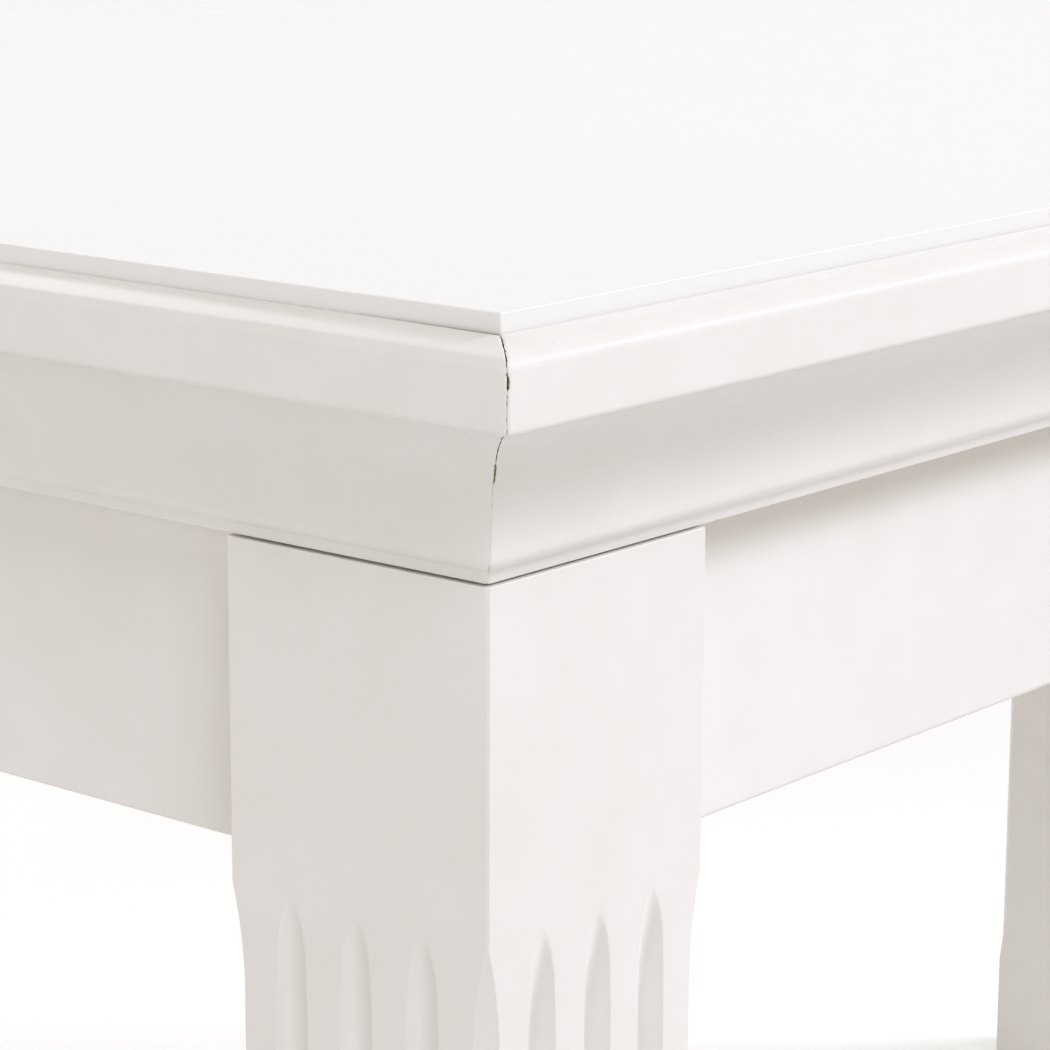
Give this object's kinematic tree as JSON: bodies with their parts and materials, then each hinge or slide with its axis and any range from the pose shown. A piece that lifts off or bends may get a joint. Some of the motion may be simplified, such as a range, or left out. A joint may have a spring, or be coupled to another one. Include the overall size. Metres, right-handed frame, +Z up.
{
  "type": "dining table",
  "caption": "White painted dining table: mitred cornice moulding round a flat top board, plain aprons, fluted square legs bolted into the corners.",
  "frame": {"origin": "on the floor, under the middle of the table top", "axes": "+X along the table's length, +Y across it, away from the front, +Z up"},
  "size_m": [1.55, 0.8, 0.78],
  "materials": {
    "white_paint": "satin white paint on hardwood",
    "bare_wood": "planed, unpainted",
    "zinc": "zinc plated",
    "nylon": "moulded nylon"
  },
  "bodies": {
    "root": {"table_top": "white_paint", "cornice_front": "white_paint", "cornice_right": "white_paint", "cornice_back": "white_paint", "cornice_left": "white_paint", "apron_front": "white_paint", "apron_right": "white_paint", "apron_back": "white_paint", "apron_left": "white_paint", "leg_front_left": "white_paint", "leg_front_right": "white_paint", "leg_back_right": "white_paint", "leg_back_left": "white_paint", "cleat_front_left": "bare_wood", "cleat_front_right": "bare_wood", "cleat_back_left": "bare_wood", "cleat_back_right": "bare_wood", "cleat_left": "bare_wood", "cleat_right": "bare_wood", "cross_rail": "bare_wood", "corner_block_front_left": "bare_wood", "corner_block_front_right": "bare_wood", "corner_block_back_right": "bare_wood", "corner_block_back_left": "bare_wood", "glide_front_left": "nylon", "glide_front_right": "nylon", "glide_back_right": "nylon", "glide_back_left": "nylon", "hanger_bolts": "zinc", "flange_nuts": "zinc"}
  },
  "joints": []
}
